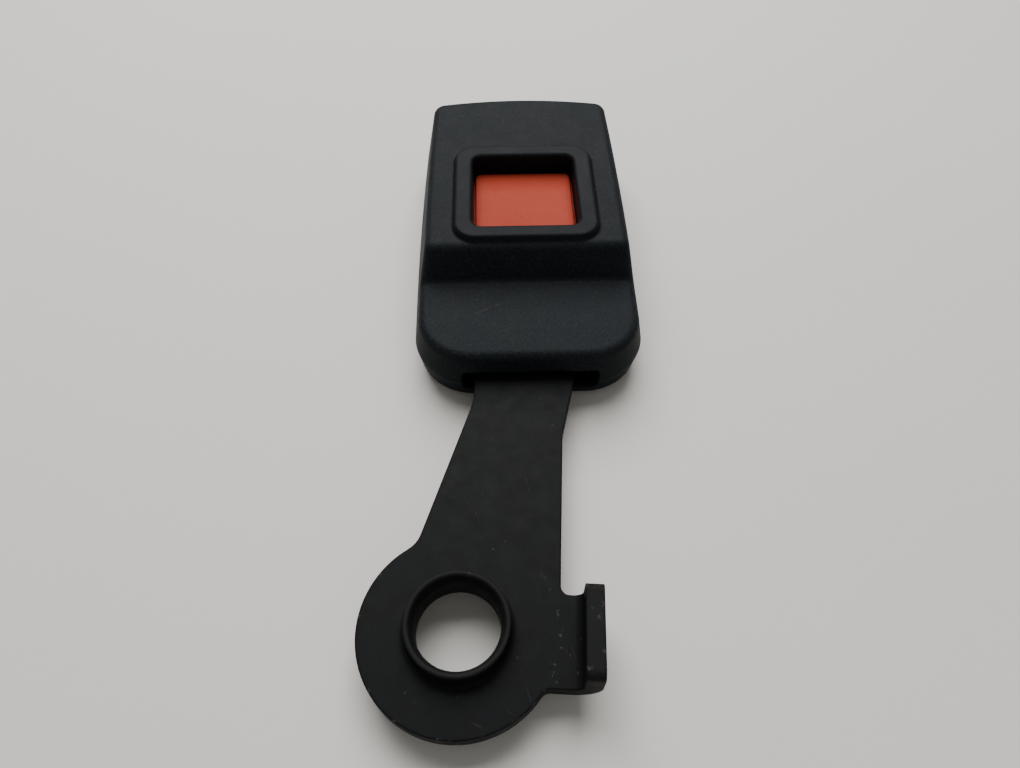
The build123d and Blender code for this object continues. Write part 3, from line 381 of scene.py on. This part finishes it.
finishes = {
    "cover_black": moulded_black(),
    "button_red": button_red(),
    "black_steel": coated_steel(),
    "plated_steel": worked_metal(
        "plated_steel", (0.32, 0.29, 0.21, 1), (0.62, 0.58, 0.45, 1), 0.36, 0.9 * MM, (1, 0.2, 1)
    ),
    "pin_steel": worked_metal(
        "pin_steel", (0.30, 0.30, 0.31, 1), (0.60, 0.60, 0.61, 1), 0.28, 0.5 * MM, (0.1, 1, 1)
    ),
    "spring_steel": worked_metal(
        "spring_steel", (0.22, 0.22, 0.23, 1), (0.50, 0.50, 0.52, 1), 0.30, 0.4 * MM, (1, 1, 1)
    ),
    "screw_steel": worked_metal(
        "screw_steel", (0.02, 0.02, 0.022, 1), (0.07, 0.07, 0.075, 1), 0.42, 0.5 * MM, (1, 1, 1)
    ),
    "washer_nylon": undyed_plastic(
        "washer_nylon", (0.62, 0.60, 0.53, 1), (0.44, 0.40, 0.31, 1)
    ),
    "ejector_plastic": undyed_plastic(
        "ejector_plastic", (0.66, 0.65, 0.60, 1), (0.48, 0.45, 0.37, 1)
    ),
}
slots = {part["node"]: part["material_slot"] for part in frame["record"]["subparts"]}
for name, piece in nodes.items():
    piece.data.materials.clear()
    piece.data.materials.append(finishes[slots[name]])
print("finishes:", len(finishes), "for", len(slots), "pieces")

# %% [markdown]
# ## Wire for springs
# A construction model draws a spring at one length, and left so it would be run through by the
# piece that presses it. The springs are therefore made here, as a round wire swept along a
# centre line. A closed mesh is used and not a curve, because only a mesh can be pressed.

# %% Wire and coil
POINTS_PER_TURN = 24


def round_wire(name, line, radius, axis, sides=12):
    """A closed wire: point = line(s) + r (u cos a + v sin a). The vector u is the coil's axis
    made square to the line, v is the line's direction crossed with u, and a goes round."""
    line, axis = np.asarray(line, float), np.asarray(axis, float)
    along = np.gradient(line, axis=0)
    along /= np.linalg.norm(along, axis=1)[:, None]
    u = axis - (along @ axis)[:, None] * along
    u /= np.linalg.norm(u, axis=1)[:, None]
    v = np.cross(along, u)
    a = np.linspace(0, 2 * np.pi, sides, endpoint=False)[None, :, None]
    rings = line[:, None] + radius * (np.cos(a) * u[:, None] + np.sin(a) * v[:, None])
    ring = np.arange(len(line) - 1)[:, None] * sides
    here, beside = ring + np.arange(sides), ring + (np.arange(sides) + 1) % sides
    quads = np.stack([here, beside, beside + sides, here + sides], axis=-1).reshape(-1, 4)
    first, last = list(range(sides))[::-1], list(range((len(line) - 1) * sides, len(line) * sides))
    mesh = bpy.data.meshes.new(name)
    mesh.from_pydata(rings.reshape(-1, 3).tolist(), [], quads.tolist() + [first, last])
    mesh.polygons.foreach_set("use_smooth", [True] * len(quads) + [False, False])
    made = bpy.data.objects.new(name, mesh)
    bpy.context.scene.collection.objects.link(made)
    made.data.materials.append(finishes["spring_steel"])
    return made


def coil_line(seat, axis, radius, length, turns, closed=0.6):
    """Centre line of a coil: seat + R (p cos t + q sin t) + h(t) axis, where p, q and the axis
    are square to each other and h stays level over the closed share of a turn at each end."""
    axis = np.asarray(axis, float)
    p = np.array([1.0, 0.0, 0.0])
    q = np.cross(axis, p)
    turn = np.linspace(0, turns, turns * POINTS_PER_TURN + 1)[:, None]
    height = length * np.clip((turn - closed) / (turns - 2 * closed), 0, 1)
    around = p * np.cos(2 * np.pi * turn) + q * np.sin(2 * np.pi * turn)
    return np.asarray(seat) + radius * around + height * axis


# %% [markdown]
# ## The button's and the ejector's springs
# The button's two springs and the ejector's spring shorten as their piece comes down on them.
# Each stands on its seat and reaches the piece at rest. It is not pressed here: the length
# that the joint's whole travel would leave is worked out, and the solid length is printed
# beside that pressed one, because a real coil can't be pressed any shorter than that.

# %% Pressed springs
PRESSED = [
    # node, direction it is pressed along, coil radius, wire, turns, joint
    ("button_spring_left", (0, 0, 1), 1.5 * MM, 0.40 * MM, 4, "button_press"),
    ("button_spring_right", (0, 0, 1), 1.5 * MM, 0.40 * MM, 4, "button_press"),
    ("ejector_spring", (0, 1, 0), 1.9 * MM, 0.50 * MM, 9, "ejector_slide"),
]
travel = {joint["name"]: joint.get("range_m", [0, 0])[1] for joint in frame["joints"]}
for node, axis, radius, wire, turns, joint in PRESSED:
    low, high = (np.array(corner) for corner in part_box(node))
    axis = np.array(axis, float)
    free = float((high - low) @ axis)
    anchor = (low + high) / 2 - axis * free / 2
    line = coil_line(anchor + axis * wire / 2, axis, radius, free - wire, turns)
    spring = round_wire(node + "_wire", line, wire / 2, axis)
    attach(spring, "head")
    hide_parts(node)
    keep = (free - travel[joint]) / free
    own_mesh(spring)
    solid = (turns + 1) * wire
    print(node, "free", round(free / MM, 2), "pressed", round(keep * free / MM, 2),
          "solid", round(solid / MM, 2), "mm")

# %% [markdown]
# ## The spring that winds
# The latch's spring sits round the pin. The head holds its first leg and the lever carries the
# second. The wire runs along the pin from one leg to the other, and each turn takes its share
# of the angle.

# %% Wound spring
LATCH_COIL_R = 2.2 * MM
LATCH_WIRE_R = 0.37 * MM
LATCH_HALF = 4.2 * MM  # half the coil's length along the pin
LATCH_TURNS = 6
REAR_ANGLE, FRONT_ANGLE = radians(-60.0), radians(12.0)  # the wire's angle above +Y at its ends
REAR_LEG, FRONT_LEG = 4.4 * MM, 9.8 * MM
pin_low, pin_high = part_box("latch_pin")
pin = np.array((pin_low + pin_high) / 2)
pin[0] = HEAD_X


def on_coil(x, angle):
    """Points of the coil: pin + (x, R sin angle, -R cos angle)."""
    return pin + np.stack(
        [x, LATCH_COIL_R * np.sin(angle), -LATCH_COIL_R * np.cos(angle)], axis=-1
    )


sweep = 2 * np.pi * LATCH_TURNS + FRONT_ANGLE - REAR_ANGLE
share = np.linspace(0, 1, LATCH_TURNS * POINTS_PER_TURN)
turned = on_coil(LATCH_HALF * (2 * share - 1), REAR_ANGLE + sweep * share)
rear_way = np.array([0, cos(REAR_ANGLE), sin(REAR_ANGLE)])
front_way = np.array([0, cos(FRONT_ANGLE), sin(FRONT_ANGLE)])
line = np.concatenate(
    [[turned[0] - REAR_LEG * rear_way], turned, [turned[-1] + FRONT_LEG * front_way]]
)
wound = round_wire("latch_spring_wire", line, LATCH_WIRE_R, (1, 0, 0))
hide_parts("latch_spring")
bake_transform(wound)
print("latch spring legs", round(REAR_LEG / MM, 1), "and", round(FRONT_LEG / MM, 1), "mm")

# %% [markdown]
# ## Floor
# The part lies on a pale board. It is a single plane with a very slight mottle.

# %% Floor
def board():
    g = Graph("pale_board")
    cloud = g.noise(0.12, detail=3.0)
    fine = g.noise(1.2 * MM, detail=3.0)
    base = g.blend(cloud * 0.6 + fine * 0.4, (0.60, 0.592, 0.565, 1), (0.68, 0.672, 0.645, 1))
    return g.finish(base, 0.62 + (fine - 0.5) * 0.1, g.bump(fine, 0.02 * MM, 0.3))


def flat_square(name, half, height):
    """A square sheet of two by two cells at a height: x and y run from -half to half."""
    side = np.linspace(-half, half, 3)
    gx, gy = np.meshgrid(side, side)
    points = np.stack([gx.ravel(), gy.ravel(), np.full(9, height)], axis=1)
    corner = np.array([0, 1, 3, 4])
    faces = np.stack([corner, corner + 1, corner + 4, corner + 3], axis=1)
    mesh = bpy.data.meshes.new(name)
    mesh.from_pydata(points.tolist(), [], faces.tolist())
    made = bpy.data.objects.new(name, mesh)
    bpy.context.scene.collection.objects.link(made)
    return made


FLOOR_HALF = 1.6
FLOOR_GAP = 0.02 * MM
floor = flat_square("floor", FLOOR_HALF, FLOOR_Z - FLOOR_GAP)
floor.data.materials.append(board())
print("floor", 2 * FLOOR_HALF, "m square")

# %% [markdown]
# ## Camera
# The eye is 14 cm above the strap and 4.5 cm before the bolt hole's centre. It looks down by 54
# degrees and is hardly rolled. The lens is wide, so the near end looks larger.

# %% Camera
IMAGE_WIDTH = 1020
FOCAL_PIXELS = 735.04  # focal length, in pixels of an image that wide
SENSOR_MM = 36.0
EYE = Vector((8.557, -44.819, 140.902)) * MM
PITCH = radians(53.981)
YAW = radians(1.588)
ROLL = radians(0.154)

level_right = Vector((cos(YAW), -sin(YAW), 0))
forward = Vector((sin(YAW) * cos(PITCH), cos(YAW) * cos(PITCH), -sin(PITCH)))
level_up = level_right.cross(forward)
right = level_right * cos(ROLL) + level_up * sin(ROLL)
up = level_up * cos(ROLL) - level_right * sin(ROLL)
lens = bpy.data.cameras.new("camera")
lens.sensor_width = SENSOR_MM
lens.lens = FOCAL_PIXELS * SENSOR_MM / IMAGE_WIDTH
lens.clip_start = 5 * MM
camera = bpy.data.objects.new("camera", lens)
camera.matrix_world = Matrix(
    [[right[i], up[i], -forward[i], EYE[i]] for i in range(3)] + [[0, 0, 0, 1]]
)
bpy.context.scene.collection.objects.link(camera)
bpy.context.scene.camera = camera
print("lens", round(lens.lens, 2), "mm")

# %% [markdown]
# ## Light
# One broad soft lamp stands beyond the mouth and gives the highlights along the far edges and
# the shadow towards the viewer. A weak one behind the viewer and a warm pale surround fill the
# rest, so that the slope and the rear wall stay readable.

# %% Light
def lamp(name, place, aim, size, power, colour=(1, 1, 1)):
    """A square area lamp at place, facing aim: its side in metres, its power in watts."""
    data = bpy.data.lights.new(name, "AREA")
    data.size = size
    data.energy = power
    data.color = colour
    made = bpy.data.objects.new(name, data)
    made.location = place
    made.rotation_euler = (Vector(aim) - Vector(place)).to_track_quat("-Z", "Y").to_euler()
    bpy.context.scene.collection.objects.link(made)


SURROUND_COLOUR = (1.0, 0.965, 0.90, 1)
SURROUND_STRENGTH = 0.27
MIDDLE = (HEAD_X, 0.07, 0.0)  # about the middle of the whole part
lamp(
    "window", place=(-0.05, 0.78, 0.94), aim=MIDDLE, size=1.05, power=25.5,
    colour=(1.0, 0.995, 0.98),
)
lamp(
    "near_fill", place=(0.1, -0.9, 0.5), aim=MIDDLE, size=1.2, power=1.0,
    colour=(0.92, 0.96, 1.0),
)
world = bpy.data.worlds.new("surround")
world.use_nodes = True
background = world.node_tree.nodes["Background"]
background.inputs["Color"].default_value = SURROUND_COLOUR
background.inputs["Strength"].default_value = SURROUND_STRENGTH
bpy.context.scene.world = world
print("surround", SURROUND_STRENGTH)
